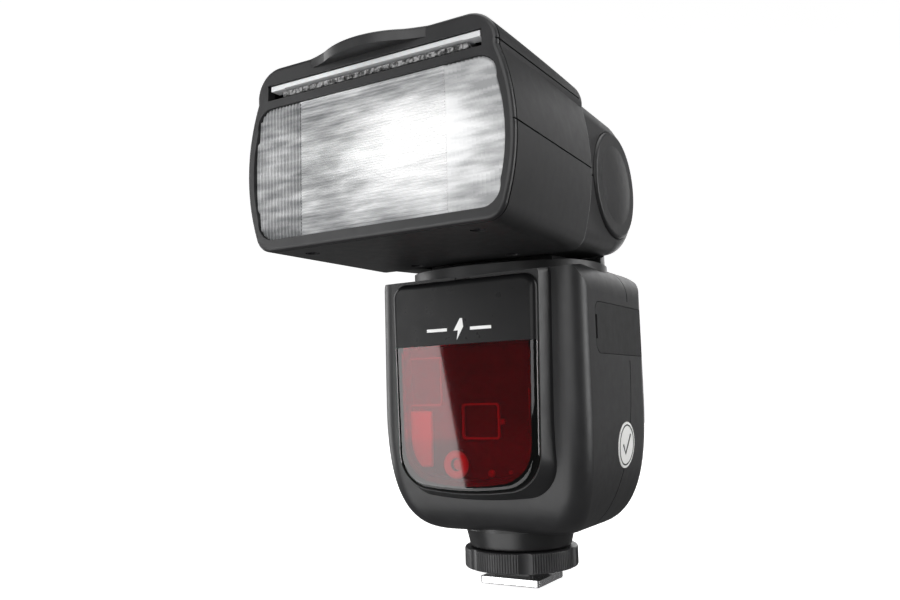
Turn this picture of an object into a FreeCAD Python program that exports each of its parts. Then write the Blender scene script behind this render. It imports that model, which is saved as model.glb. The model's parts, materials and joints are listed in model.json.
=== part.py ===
import FreeCAD, Part
import functools
import math
import os

V = FreeCAD.Vector

# Speedlight flash, millimetres. The origin is the centre of the shoe plate's underside,
# +Z points up, and the lamp head and the red window face -Y.

# --- driving dimensions ---------------------------------------------------------------
WALL = 2.0                  # casing wall
GAP = 0.15                  # clearance round a moving button or cover
FIT = 0.05                  # radial clearance of a running fit

SHOE_WIDTH = 18.6           # hot-shoe foot
SHOE_LENGTH = 17.0
SHOE_THICK = 2.0
BLOCK_WIDTH = 12.2
BLOCK_LENGTH = 13.0
RING_BOTTOM = 4.6
RING_TOP = 10.2
RING_R = 16.45
SPIGOT_R = 9.5
SPIGOT_BOTTOM = 4.4
NECK_BOTTOM = 10.5
NECK_TOP = 16.5
NECK_R = 15.9

BODY_HALF = 32.0            # half the body's width
BODY_FRONT = -25.5
BODY_REAR = 28.4
FRONT_CORNER = 6.0
REAR_CORNER = 8.0
BODY_BOTTOM = 15.5
BODY_TOP = 90.0
BELLY_TOP = 57.0            # below this height the sides draw in
BELLY_INSET = 16.0          # how far they draw in at the bottom
BELLY_POWER = 3.0           # exponent of the superellipse that they follow
POD_FRONT = -31.9           # front plane of the window
POD_SEAT = -30.0
POD_HALF = 22.4
WINDOW_TOP = 67.5
LAMP_X, LAMP_Z = -4.2, 35.3

AXIS_Y = -1.0               # pan and tilt axes cross here
TILT_Z = 112.0
TURRET_R = 28.8
TURRET_FLOOR = 85.0
TURRET_TOP = 90.2
DRUM_R = 18.0               # tilt drum of the turret
DRUM_HALF = 19.7
EAR_INNER = 20.0
EAR_OUTER = 33.8
EAR_R = 19.5
EAR_EDGE = 5.0              # rounding of the ears' outer edge
CAP_R = 15.2
AXLE_R = 5.0

HEAD_FRONT = -72.6
HEAD_BACK = -23.0
HEAD_HALF = 38.3
HEAD_BOTTOM = 90.6
HEAD_TOP = 137.7
HEAD_SPLIT = 111.8
CAP_SPLIT = 130.4
CAP_BACK = -26.0
SLOT_LOW = 129.4
SLOT_HIGH = 133.4
SLOT_HALF = 31.0
PANEL_LENGTH = 50.0

BACK_FACE = 29.6            # outer face of the control panel
DIAL_Z = 37.0
DOOR_LOW = 64.2
DOOR_HIGH = 78.1
DOOR_FRONT = -15.0
DOOR_PIN_Y = 21.0
DOOR_THICK = 2.2


# --- shape helpers --------------------------------------------------------------------
def box(x0, x1, y0, y1, z0, z1):
    return Part.makeBox(x1 - x0, y1 - y0, z1 - z0, V(x0, y0, z0))


def rod_x(radius, x0, x1, y, z):
    return Part.makeCylinder(radius, x1 - x0, V(x0, y, z), V(1, 0, 0))


def rod_y(radius, y0, y1, x, z):
    return Part.makeCylinder(radius, y1 - y0, V(x, y0, z), V(0, 1, 0))


def rod_z(radius, z0, z1, x=0.0, y=0.0):
    return Part.makeCylinder(radius, z1 - z0, V(x, y, z0), V(0, 0, 1))


def wire(start, *steps):
    """Closed wire. A step is one point for a line, or a pair (through, end) for an arc."""
    edges = []
    here = start
    for step in steps:
        if isinstance(step, tuple):
            edges.append(Part.Arc(here, step[0], step[1]).toShape())
            here = step[1]
        else:
            edges.append(Part.LineSegment(here, step).toShape())
            here = step
    if here.distanceToPoint(start) > 1e-6:
        edges.append(Part.LineSegment(here, start).toShape())
    return Part.Wire(edges)


def slab(outline, direction):
    return Part.Face(outline).extrude(direction)


def rounded(x0, x1, z0, z1, radius, y0, y1):
    """Block along Y whose XZ outline has rounded corners."""
    block = box(x0, x1, y0, y1, z0, z1)
    edges = [e for e in block.Edges if abs(e.tangentAt(e.FirstParameter).y) > 0.99]
    return block.makeFillet(radius, edges)


def edges_at(shape, axis, value):
    """The edges that lie in the plane where the axis coordinate has this value."""
    low, high = axis + "Min", axis + "Max"
    found = []
    for edge in shape.Edges:
        bounds = edge.BoundBox
        if abs(getattr(bounds, low) - value) < 0.01 and abs(getattr(bounds, high) - value) < 0.01:
            found.append(edge)
    return found


def mirror_x(shape):
    return shape.mirror(V(0, 0, 0), V(1, 0, 0))


def joined(shapes):
    return Part.makeCompound(shapes)


# --- body envelope --------------------------------------------------------------------
def plan_section(inset, z):
    """Rounded plan outline of the body at height z."""
    w = BODY_HALF - inset
    front = BODY_FRONT + inset
    rear = BODY_REAR - inset
    r = min(REAR_CORNER, 0.4 * (rear - front))
    f = min(FRONT_CORNER, r)
    c = r * (1.0 - math.sqrt(0.5))
    e = f * (1.0 - math.sqrt(0.5))
    return wire(
        V(-w + f, front, z), V(w - f, front, z), (V(w - e, front + e, z), V(w, front + f, z)),
        V(w, rear - r, z), (V(w - c, rear - c, z), V(w - r, rear, z)),
        V(-w + r, rear, z), (V(-w + c, rear - c, z), V(-w, rear - r, z)),
        V(-w, front + f, z), (V(-w + e, front + e, z), V(-w + f, front, z)))


def top_limit(inset):
    """Everything under the body's top, which rises to the rear and rounds over at the sides."""
    w = BODY_HALF - inset
    top = BODY_TOP - inset
    r = 9.0
    c = r * (1.0 - math.sqrt(0.5))
    across = slab(wire(V(-w, -50, 0), V(w, -50, 0), V(w, -50, top - r),
                       (V(w - c, -50, top - c), V(w - r, -50, top)), V(-w + r, -50, top),
                       (V(-w + c, -50, top - c), V(-w, -50, top - r))), V(0, 100, 0))
    rear = BODY_REAR - inset
    along = slab(wire(V(-50, -50, 0), V(-50, -50, top - 6.2), V(-50, -32, top - 4.2), V(-50, -5, top),
                      V(-50, rear - 8, top), (V(-50, rear - 2.4, top - 2.6), V(-50, rear, top - 9)),
                      V(-50, rear, 0)), V(100, 0, 0))
    return across.common(along)


@functools.lru_cache(maxsize=None)
def body_solid(inset):
    """Body envelope: straight sides above, drawn in on a superellipse towards the foot."""
    drop = BELLY_TOP - BODY_BOTTOM - inset
    power = 2.0 / BELLY_POWER
    sections = []
    for degrees in (90, 85, 80, 74, 67, 58, 47, 35, 24, 12, 4, 0):
        a = math.radians(degrees)
        draw_in = BELLY_INSET * (1.0 - max(0.0, math.cos(a)) ** power)
        sections.append(plan_section(inset + draw_in, BELLY_TOP - drop * math.sin(a) ** power))
    belly = Part.makeLoft(sections, True, False)
    chest = slab(plan_section(inset, BELLY_TOP), V(0, 0, BODY_TOP + 2 - BELLY_TOP))
    return belly.fuse(chest).common(top_limit(inset)).removeSplitter()


def pod_outline(half, top, bottom, top_r, y):
    """U-shaped front outline: straight tapered sides, wide round bottom corners."""
    low = half - 1.0
    c = top_r * (1.0 - math.sqrt(0.5))
    knee = bottom + 11.0
    return wire(
        V(-half + top_r, y, top), V(half - top_r, y, top),
        (V(half - c, y, top - c), V(half, y, top - top_r)),
        V(low, y, knee), (V(low - 2.6, y, bottom + 4.2), V(low - 9.5, y, bottom + 0.8)),
        (V(0, y, bottom), V(-low + 9.5, y, bottom + 0.8)),
        (V(-low + 2.6, y, bottom + 4.2), V(-low, y, knee)), V(-half, y, top - top_r),
        (V(-half + c, y, top - c), V(-half + top_r, y, top)))


def parting_tool(shift=0.0):
    """Everything in front of the line where the front and rear cases meet."""
    tool = slab(wire(V(-60, -60, -5), V(-60, -60, 120), V(-60, 10.8, 120), V(-60, 10.8, 62),
                     (V(-60, 7.0, 38), V(-60, -3.0, 17.0)), V(-60, -14, -5)), V(120, 0, 0))
    tool.translate(V(0, shift, 0))
    return tool


def case_seam():
    """Shallow groove round the outside along the parting line."""
    return parting_tool(0.22).cut(parting_tool(-0.22)).cut(body_solid(0.4))


# --- foot -----------------------------------------------------------------------------
CONTACTS = [(0.0, 0.0), (-3.6, 3.4), (3.6, 3.4), (-3.6, -3.4), (3.6, -3.4)]
LOCK_PIN_XY = (0.0, -5.2)
FOOT_SCREWS = [(-4.9, 0.0), (4.9, 0.0)]
RING_GROUPS = 6             # bands of fine grooves round the lock ring
RING_GROOVES = 17
RING_PITCH = 2.75           # degrees


def shoe_plate():
    plate = box(-SHOE_WIDTH / 2, SHOE_WIDTH / 2, -SHOE_LENGTH / 2, SHOE_LENGTH / 2, 0, SHOE_THICK)
    plate = plate.makeFillet(0.8, [e for e in plate.Edges if abs(e.tangentAt(e.FirstParameter).z) > 0.99])
    plate = plate.makeChamfer(0.3, edges_at(plate, "Z", 0.0))
    for x, y in CONTACTS:
        plate = plate.cut(rod_z(1.35, -1, SHOE_THICK + 1, x, y))
    plate = plate.cut(rod_z(1.0 + FIT, -1, SHOE_THICK + 1, *LOCK_PIN_XY))
    for x, y in FOOT_SCREWS:
        plate = plate.cut(rod_z(0.85, -1, SHOE_THICK + 1, x, y))
        plate = plate.cut(Part.makeCone(1.5, 0.85, 0.65, V(x, y, 0)))
    return plate


def shoe_block():
    half = BLOCK_WIDTH / 2
    reach = BLOCK_LENGTH / 2
    block = box(-half, half, -reach, reach, SHOE_THICK, SPIGOT_BOTTOM)
    block = block.makeFillet(1.0, [e for e in block.Edges if abs(e.tangentAt(e.FirstParameter).z) > 0.99])
    block = block.fuse(rod_z(SPIGOT_R, SPIGOT_BOTTOM, NECK_BOTTOM))
    for x, y in CONTACTS:
        block = block.cut(rod_z(0.8 + FIT, 0, 7.0, x, y))
        block = block.cut(rod_z(1.2, 4.0, NECK_BOTTOM + 1, x, y))
    block = block.cut(rod_z(1.0 + FIT, 0, NECK_BOTTOM + 1, *LOCK_PIN_XY))
    for x, y in FOOT_SCREWS:
        block = block.cut(rod_z(0.7, 0, 9.0, x, y))
    return block.removeSplitter()


def contact_pins():
    pins = []
    for x, y in CONTACTS:
        pin = rod_z(0.8, -0.7, 4.6, x, y).fuse(rod_z(1.1, 4.2, 5.2, x, y))
        pin = pin.makeFillet(0.35, edges_at(pin, "Z", -0.7))
        pins.append(pin.removeSplitter())
    return joined(pins)


def lock_pin():
    pin = rod_z(1.0, 0.6, 10.3, *LOCK_PIN_XY)
    return pin.makeChamfer(0.3, edges_at(pin, "Z", 0.6))


def clamp_washer():
    return rod_z(13.2, RING_BOTTOM + 0.15, RING_BOTTOM + 1.15).cut(rod_z(SPIGOT_R + FIT, 3, 8))


def ring_cut(radius, distance, degrees):
    """Upright flute in the rim of the lock ring."""
    a = math.radians(degrees)
    return rod_z(radius, 4, 11, distance * math.cos(a), distance * math.sin(a))


def lock_ring():
    ring = rod_z(RING_R, RING_BOTTOM, RING_TOP)
    ring = ring.makeFillet(0.6, edges_at(ring, "Z", RING_BOTTOM) + edges_at(ring, "Z", RING_TOP))
    ring = ring.cut(rod_z(SPIGOT_R + FIT, 0, 20)).cut(rod_z(13.5, 4, RING_BOTTOM + 1.4))
    cuts = []
    for g in range(RING_GROUPS):
        start = 360.0 / RING_GROUPS * g + 8.0
        for k in range(RING_GROOVES):
            cuts.append(ring_cut(0.3, RING_R + 0.08, start + RING_PITCH * k))
        cuts.append(ring_cut(4.5, RING_R + 3.9, start - 8.0))
    return ring.cut(joined(cuts))


def foot_neck():
    collar = NECK_BOTTOM + 5.0
    neck = Part.makeCone(NECK_R - 1.2, NECK_R, collar - NECK_BOTTOM, V(0, 0, NECK_BOTTOM))
    neck = neck.fuse(rod_z(NECK_R, collar, NECK_TOP))
    neck = neck.makeFillet(0.5, edges_at(neck, "Z", NECK_BOTTOM))
    for x, y in CONTACTS:
        neck = neck.cut(rod_z(1.2, 0, 30, x, y))
    for angle in (45, 135, 225, 315):
        x = 11.5 * math.cos(math.radians(angle))
        y = 11.5 * math.sin(math.radians(angle))
        neck = neck.cut(rod_z(0.9, 12.5, 30, x, y))
    return neck.removeSplitter()


def screw(radius, length, head_r, head_h, position, direction):
    """Pan-head screw with a cross recess; position is under the head, direction is the head's side."""
    shank = Part.makeCylinder(radius, length, position, direction.negative())
    head = Part.makeCylinder(head_r, head_h, position, direction)
    body = shank.fuse(head)
    arm = head_r * 0.62
    recess = Part.makeBox(2 * arm, 0.5, head_h, V(-arm, -0.25, head_h * 0.45))
    recess = recess.fuse(Part.makeBox(0.5, 2 * arm, head_h, V(-0.25, -arm, head_h * 0.45)))
    recess.Placement = FreeCAD.Placement(position, FreeCAD.Rotation(V(0, 0, 1), direction))
    return body.cut(recess)


def foot_screws():
    screws = []
    for x, y in FOOT_SCREWS:
        shank = rod_z(0.7, 0.6, 8.5, x, y).fuse(Part.makeCone(1.4, 0.7, 0.6, V(x, y, 0.1)))
        screws.append(shank.cut(box(x - 0.9, x + 0.9, y - 0.15, y + 0.15, 0, 0.4)))
    return joined(screws)


# --- body -----------------------------------------------------------------------------
def battery_space(gap):
    """Rounded bay for the pack, open on the -X side."""
    pack = box(-BODY_HALF - 1.0, 24.0 + gap, -1.0 - gap, 19.5 + gap, 26.0 - gap, 60.0 + gap)
    return pack.makeFillet(3.0, [e for e in pack.Edges if abs(e.tangentAt(e.FirstParameter).x) > 0.99])


def door_space(gap):
    """Recess for the port door on the +X side, round at its hinge."""
    pin_x = BODY_HALF - DOOR_THICK / 2
    back = pin_x - DOOR_THICK / 2 - gap
    low = DOOR_LOW - gap
    high = DOOR_HIGH + gap
    plate = box(back, BODY_HALF + 3, DOOR_FRONT - gap, DOOR_PIN_Y, low, high)
    front = [e for e in plate.Edges if abs(e.tangentAt(e.FirstParameter).x) > 0.99 and e.BoundBox.YMax < 0]
    plate = plate.makeFillet(3.0, front)
    knuckle = rod_z(DOOR_THICK / 2 + gap, low, high, pin_x, DOOR_PIN_Y)
    lead = box(pin_x, BODY_HALF + 3, DOOR_PIN_Y - 0.1, DOOR_PIN_Y + DOOR_THICK / 2 + gap, low, high)
    pintle = rod_z(0.5 + FIT, DOOR_LOW - 1.1, DOOR_HIGH + 1.1, pin_x, DOOR_PIN_Y)
    return plate.fuse(knuckle).fuse(lead).fuse(pintle)


def turret_pocket():
    return rod_z(TURRET_R + 0.3, TURRET_FLOOR, 120, 0, AXIS_Y)


MENU_X = [-16.5, -5.5, 5.5, 16.5]
MENU_Z = 51.0
SIDE_BUTTONS = {"mode_button": (-18.5, 42.0), "test_button": (-18.5, 32.0), "wireless_button": (18.5, 42.0)}
SWITCH_X, SWITCH_Z = 18.5, 31.5
SOCKETS = {"sync_socket": (-8.5, 71.1), "usb_socket": (6.0, 71.1)}
CASE_SCREWS = [(-26.0, 46.0), (26.0, 46.0), (-26.0, 76.0), (26.0, 76.0)]
SCREW_SEAT = BODY_REAR - 1.2


def mouth_outline(inset, y):
    """Opening in the front case behind the window."""
    outline = pod_outline(POD_HALF - 2.6, 82.0, 31.0, 3.5, y)
    if inset == 0.0:
        return outline
    return outline.makeOffset2D(-inset)


@functools.lru_cache(maxsize=None)
def case_shell():
    """Hollow casing with every opening, before it is split into the front and rear cases."""
    shell = body_solid(0.0)
    pod = Part.makeLoft([pod_outline(POD_HALF + 0.3, 89.0, 27.6, 4.5, POD_SEAT),
                         pod_outline(POD_HALF + 2.2, 89.0, 25.6, 4.5, BODY_FRONT + 1.0),
                         pod_outline(POD_HALF + 2.4, 89.0, 25.4, 4.5, BODY_FRONT + 4.0)], True, True)
    shell = shell.fuse(pod.common(top_limit(0.0)))
    shell = shell.cut(body_solid(WALL))
    shell = shell.cut(slab(mouth_outline(0.0, POD_FRONT), V(0, 12, 0)))
    well = rod_z(TURRET_R + 1.8, TURRET_FLOOR - WALL, BODY_TOP, 0, AXIS_Y)
    shell = shell.fuse(well.common(body_solid(0.0)))
    shell = shell.cut(case_seam())
    shell = shell.cut(turret_pocket()).cut(rod_z(9.0 + FIT, 70, 100, 0, AXIS_Y))
    shell = shell.fuse(door_space(1.6).common(body_solid(0.0))).cut(door_space(GAP))
    for y, z in SOCKETS.values():
        shell = shell.cut(rod_x(2.6, 20, 33, y, z))
    shell = shell.cut(battery_space(GAP))
    shell = shell.cut(rod_z(12.0, 10, 20, 0, 1.5))
    shell = shell.cut(rod_z(NECK_R + 0.02, 10, NECK_TOP + 0.02))
    panel = control_outline(0.1, BODY_REAR - 1.0, BODY_REAR + 3)
    shell = shell.cut(panel)
    for x, z in back_holes():
        shell = shell.cut(rod_y(1.9, 20, 35, x, z))
    shell = shell.cut(rod_y(4.0, 20, 35, 0, DIAL_Z)).cut(box(-19, 19, 20, 35, 57, 79))
    shell = shell.cut(box(SWITCH_X - 1.8, SWITCH_X + 1.8, 20, 35, SWITCH_Z - 3.0, SWITCH_Z + 3.0))
    for x, z in CASE_SCREWS:
        shell = shell.fuse(rod_y(2.4, SCREW_SEAT - 7.0, SCREW_SEAT, x, z))
        shell = shell.cut(rod_y(0.95, 15, 35, x, z)).cut(rod_y(1.75, SCREW_SEAT, 35, x, z))
    return shell


def back_holes():
    return [(x, MENU_Z) for x in MENU_X] + list(SIDE_BUTTONS.values())


def control_outline(gap, y0, y1):
    return rounded(-23.0 - gap, 23.0 + gap, 25.5 - gap, 83.5 + gap, 4.0, y0, y1)


def front_case():
    return case_shell().common(parting_tool())


def rear_case():
    return case_shell().cut(parting_tool())


def window_block(inset, top):
    block = slab(pod_outline(POD_HALF - inset, top, 27.8 + inset, 4.0, POD_FRONT + inset),
                 V(0, POD_SEAT - POD_FRONT - inset, 0))
    if inset == 0.0:
        block = block.makeFillet(1.7, edges_at(block, "Y", POD_FRONT))
    return block


def red_window():
    block = window_block(0.0, 85.2)
    below = box(-40, 40, -40, 0, 0, WINDOW_TOP)
    hollow = slab(pod_outline(POD_HALF - 2.0, 88.0, 29.8, 3.0, POD_FRONT + 1.5), V(0, 10, 0))
    ledge = box(-40, 40, POD_FRONT + 1.5, 0, WINDOW_TOP - 1.5, WINDOW_TOP)
    return block.common(below).cut(hollow.cut(ledge))


def front_panel():
    return window_block(0.0, 85.2).common(box(-40, 40, -40, 0, WINDOW_TOP + 0.1, 100))


def assist_holder():
    """Dark plate behind the window that carries the assist lamp and its lens ring."""
    plate = slab(mouth_outline(0.2, -26.6), V(0, 1.6, 0)).common(box(-40, 40, -40, 0, 0, WINDOW_TOP - 0.5))
    ring = rod_y(3.9, -28.2, -25.0, LAMP_X, LAMP_Z).cut(rod_y(1.62, -29, -24, LAMP_X, LAMP_Z))
    plate = plate.cut(rod_y(3.5, -30, -20, LAMP_X, LAMP_Z)).fuse(ring)
    plate = plate.cut(rounded(-3.4, 8.4, 41.5, 51.5, 1.0, -30, -20))
    return plate.cut(rounded(-17.5, -11.5, 33.0, 50.0, 1.0, -30, -20)).removeSplitter()


def assist_lens():
    lens = rod_y(1.6, -27.6, -25.0, LAMP_X, LAMP_Z)
    return lens.makeFillet(0.7, edges_at(lens, "Y", -27.6))


def assist_board():
    board = slab(mouth_outline(0.6, -24.2), V(0, 1.4, 0)).common(box(-40, 40, -40, 0, 0, WINDOW_TOP - 1.0))
    lamp = rod_y(1.4, -24.9, -24.0, LAMP_X, LAMP_Z)
    receiver = box(-3.0, 8.0, -25.8, -24.0, 42.0, 51.0)
    return board.fuse(lamp).fuse(receiver).removeSplitter()


def battery():
    pack = box(-BODY_HALF, 23.0, -0.8, 19.3, 26.2, 59.8)
    pack = pack.makeFillet(2.8, [e for e in pack.Edges if abs(e.tangentAt(e.FirstParameter).x) > 0.99])
    pack = pack.common(body_solid(0.0))
    latch = box(-BODY_HALF - 2, -BODY_HALF + 4.5, 5.8, 12.8, 37.8, 48.2)
    pack = pack.cut(latch)
    for y in (3.0, 9.3, 15.6):
        pack = pack.cut(box(21.5, 24, y - 1.0, y + 1.0, 34.0, 52.0))
    return pack


def battery_latch():
    key = box(-BODY_HALF + 0.2, -BODY_HALF + 2.8, 6.0, 12.6, 38.0, 48.0)
    key = key.makeFillet(1.0, edges_at(key, "X", -BODY_HALF + 0.2))
    for i in range(4):
        z = 40.2 + 1.9 * i
        key = key.cut(box(-BODY_HALF - 1, -BODY_HALF + 0.6, 7.0, 11.6, z, z + 0.7))
    return key


def battery_contacts():
    base = box(24.6, 27.4, 0.0, 18.5, 36.0, 50.0)
    for y in (3.0, 9.3, 15.6):
        base = base.fuse(box(23.2, 24.7, y - 0.5, y + 0.5, 37.0, 49.0))
    return base


def port_door():
    pin_x = BODY_HALF - DOOR_THICK / 2
    plate = box(BODY_HALF - DOOR_THICK, BODY_HALF, DOOR_FRONT, DOOR_PIN_Y, DOOR_LOW, DOOR_HIGH)
    front = [e for e in plate.Edges if abs(e.tangentAt(e.FirstParameter).x) > 0.99 and e.BoundBox.YMax < 0]
    plate = plate.makeFillet(3.0, front)
    plate = plate.fuse(rod_z(DOOR_THICK / 2, DOOR_LOW, DOOR_HIGH, pin_x, DOOR_PIN_Y))
    plate = plate.fuse(rod_z(0.5, DOOR_LOW - 1.0, DOOR_HIGH + 1.0, pin_x, DOOR_PIN_Y))
    notch = box(BODY_HALF - 0.9, BODY_HALF + 1, DOOR_FRONT - 1, DOOR_FRONT + 1.2, 68.0, 74.5)
    return plate.cut(notch).removeSplitter()


def socket(name, bore):
    y, z = SOCKETS[name]
    body = rod_x(2.5, 26.5, 29.2, y, z).fuse(box(21.0, 27.6, y - 3.2, y + 3.2, z - 3.2, z + 3.2))
    if bore:
        return body.cut(rod_x(bore, 21.6, 30, y, z)).removeSplitter()
    slot = box(22.0, 30, y - 1.3, y + 1.3, z - 1.9, z + 1.9)
    tongue = box(22.0, 28.4, y - 0.3, y + 0.3, z - 1.4, z + 1.4)
    return body.cut(slot).fuse(tongue).removeSplitter()


def main_board():
    return box(-26.0, 26.0, -3.6, -2.2, 27.5, 76.5)


def main_capacitor():
    can = rod_z(8.8, 31.0, 76.5, -15.0, -12.9)
    return can.makeFillet(1.0, edges_at(can, "Z", 76.5))


def control_panel():
    panel = control_outline(0.0, BODY_REAR - 0.9, BACK_FACE)
    panel = panel.makeFillet(0.8, edges_at(panel, "Y", BACK_FACE))
    panel = panel.cut(rounded(-20.6, 20.6, 57.0, 81.0, 1.6, BACK_FACE - 1.0, BACK_FACE + 1))
    panel = panel.cut(rounded(-18.5, 18.5, 58.5, 78.5, 1.0, 20, 40))
    for x in MENU_X:
        panel = panel.cut(rounded(x - 3.6 - GAP, x + 3.6 + GAP, MENU_Z - 1.7 - GAP, MENU_Z + 1.7 + GAP,
                                  1.6, 20, 40))
    for x, z in SIDE_BUTTONS.values():
        panel = panel.cut(rod_y(3.4 + GAP, 20, 40, x, z))
    floor = BACK_FACE - 1.2
    panel = panel.cut(rod_y(12.0, floor, BACK_FACE + 1, 0, DIAL_Z)).cut(rod_y(4.0, 20, 40, 0, DIAL_Z))
    panel = panel.cut(rounded(SWITCH_X - 3.0, SWITCH_X + 3.0, SWITCH_Z - 3.6, SWITCH_Z + 3.6, 1.2, floor, 40))
    return panel.cut(box(SWITCH_X - 1.2, SWITCH_X + 1.2, 20, 40, SWITCH_Z - 2.6, SWITCH_Z + 3.0))


def display_window():
    return rounded(-20.5, 20.5, 57.1, 80.9, 1.5, BACK_FACE - 0.95, BACK_FACE - 0.1)


def display_module():
    return box(-18.3, 18.3, 21.6, 26.0, 57.2, 78.4)


def key_cap(shape, x, z):
    """A key cap on its stem, with a foot that stays behind the panel."""
    stem = rod_y(1.7, 25.2, BACK_FACE - 1.0, x, z)
    return shape.fuse(stem).removeSplitter()


def menu_button(index):
    x = MENU_X[index]
    cap = rounded(x - 3.6, x + 3.6, MENU_Z - 1.7, MENU_Z + 1.7, 1.6, BACK_FACE - 1.6, BACK_FACE + 0.9)
    cap = cap.makeFillet(0.5, edges_at(cap, "Y", BACK_FACE + 0.9))
    return key_cap(cap, x, MENU_Z)


def side_button(name):
    x, z = SIDE_BUTTONS[name]
    cap = rod_y(3.4, BACK_FACE - 1.6, BACK_FACE + 0.9, x, z)
    cap = cap.makeFillet(0.6, edges_at(cap, "Y", BACK_FACE + 0.9))
    return key_cap(cap, x, z)


def select_dial():
    dial = rod_y(11.6, BACK_FACE - 1.1, BACK_FACE + 2.0, 0, DIAL_Z)
    dial = dial.makeFillet(0.7, edges_at(dial, "Y", BACK_FACE + 2.0))
    dial = dial.cut(rod_y(6.3, BACK_FACE - 0.2, 40, 0, DIAL_Z))
    dial = dial.fuse(rod_y(3.9, 25.0, BACK_FACE - 0.9, 0, DIAL_Z)).cut(rod_y(1.8, 20, 40, 0, DIAL_Z))
    ribs = []
    for k in range(40):
        a = 2 * math.pi * k / 40
        ribs.append(rod_y(0.35, BACK_FACE - 0.4, 40, 11.7 * math.cos(a), DIAL_Z + 11.7 * math.sin(a)))
    return dial.cut(joined(ribs))


def set_button():
    cap = rod_y(6.1, BACK_FACE + 0.7, BACK_FACE + 1.9, 0, DIAL_Z)
    cap = cap.makeFillet(0.5, edges_at(cap, "Y", BACK_FACE + 1.9))
    return cap.fuse(rod_y(1.7, 25.2, BACK_FACE + 0.9, 0, DIAL_Z)).removeSplitter()


def power_switch():
    slider = rounded(SWITCH_X - 2.6, SWITCH_X + 2.6, SWITCH_Z - 3.3, SWITCH_Z - 0.1, 1.0,
                     BACK_FACE - 1.1, BACK_FACE + 1.2)
    for i in range(3):
        z = SWITCH_Z - 2.7 + 0.9 * i
        slider = slider.cut(box(SWITCH_X - 2.0, SWITCH_X + 2.0, BACK_FACE + 0.8, 40, z, z + 0.4))
    return slider.fuse(rod_y(1.0, 25.5, BACK_FACE - 1.0, SWITCH_X, SWITCH_Z - 1.4)).removeSplitter()


def button_board():
    return box(-19.5, 19.5, 21.8, 23.2, 30.0, 54.0)


def round_label():
    disc = rod_x(6.45, BODY_HALF - 6, BODY_HALF + 2, 5.5, 38.7)
    return body_solid(-0.15).common(disc).cut(body_solid(0.0))


def case_screws():
    return joined([screw(0.9, 6.0, 1.6, 0.9, V(x, SCREW_SEAT, z), V(0, 1, 0)) for x, z in CASE_SCREWS])


# --- neck -----------------------------------------------------------------------------
def pan_bearing():
    return rod_z(26.0, TURRET_FLOOR, TURRET_FLOOR + 0.4, 0, AXIS_Y).cut(rod_z(21.0, 80, 90, 0, AXIS_Y))


def turret():
    """Turning base and tilt drum, hollow, with a hub through the top of the body."""
    disc = rod_z(TURRET_R, TURRET_FLOOR + 0.4, TURRET_TOP, 0, AXIS_Y)
    front_cut = slab(wire(V(-40, -45, TURRET_TOP - 2.5), V(-40, -14, TURRET_TOP),
                          V(-40, -14, 100), V(-40, -45, 100)), V(80, 0, 0))
    disc = disc.cut(front_cut)
    saddle = rod_z(TURRET_R - 0.6, TURRET_TOP - 1, 97.0, 0, AXIS_Y).common(box(-40, 40, 1.0, 40, 0, 200))
    saddle = saddle.cut(rod_x(EAR_R + 0.5, -40, 40, AXIS_Y, TILT_Z))
    stem = box(-DRUM_HALF, DRUM_HALF, AXIS_Y - 13.0, AXIS_Y + 8.7, TURRET_TOP - 1.0, TILT_Z)
    drum = rod_x(DRUM_R, -DRUM_HALF, DRUM_HALF, AXIS_Y, TILT_Z)
    hub = rod_z(9.0, 77.0, TURRET_FLOOR + 1.0, 0, AXIS_Y)
    whole = disc.fuse(saddle).fuse(stem).fuse(drum).fuse(hub)
    whole = whole.cut(rod_x(DRUM_R - 2.5, -DRUM_HALF + 3.0, DRUM_HALF - 3.0, AXIS_Y, TILT_Z))
    whole = whole.cut(box(-16.5, 16.5, AXIS_Y - 10.0, AXIS_Y + 6.2, TURRET_FLOOR + 2.5, TILT_Z))
    whole = whole.cut(rod_z(6.5, 70, TILT_Z, 0, AXIS_Y)).cut(rod_x(AXLE_R, -40, 40, AXIS_Y, TILT_Z))
    groove = rod_z(10, 78.0, 79.2, 0, AXIS_Y).cut(rod_z(8.0, 77, 80, 0, AXIS_Y))
    return whole.cut(groove).removeSplitter()


def pan_clip():
    clip = rod_z(12.0, 78.1, 79.1, 0, AXIS_Y).cut(rod_z(8.0, 70, 90, 0, AXIS_Y))
    return clip.cut(box(-3.0, 3.0, AXIS_Y, AXIS_Y + 20, 70, 90))


def tilt_axle():
    axle = rod_x(AXLE_R, -31.0, 31.0, AXIS_Y, TILT_Z)
    return axle.cut(rod_x(3.6, -40, 40, AXIS_Y, TILT_Z)).cut(rod_z(6.0, 100, TILT_Z, 0, AXIS_Y))


def tilt_bushes():
    side = rod_x(8.0, EAR_INNER + 0.2, EAR_INNER + 5.0, AXIS_Y, TILT_Z)
    side = side.cut(rod_x(AXLE_R + FIT, 0, 40, AXIS_Y, TILT_Z))
    return joined([side, mirror_x(side)])


def friction_washers():
    side = rod_x(9.5, EAR_INNER + 5.1, EAR_INNER + 6.3, AXIS_Y, TILT_Z)
    side = side.cut(rod_x(AXLE_R + 0.02, 0, 40, AXIS_Y, TILT_Z))
    return joined([side, mirror_x(side)])


def axle_nuts():
    side = rod_x(8.0, EAR_INNER + 6.35, EAR_INNER + 9.4, AXIS_Y, TILT_Z)
    flats = []
    for k in range(6):
        flat = box(20, 40, 7.2, 12, -8, 8)
        flat.rotate(V(0, 0, 0), V(1, 0, 0), 60 * k)
        flat.translate(V(0, AXIS_Y, TILT_Z))
        flats.append(flat)
    side = side.cut(joined(flats)).cut(rod_x(AXLE_R, 0, 40, AXIS_Y, TILT_Z))
    return joined([side, mirror_x(side)])


# --- head -----------------------------------------------------------------------------
HEAD_SCREWS = [(-24.0, -64.0), (24.0, -64.0), (-15.0, -29.0), (15.0, -29.0)]


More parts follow.
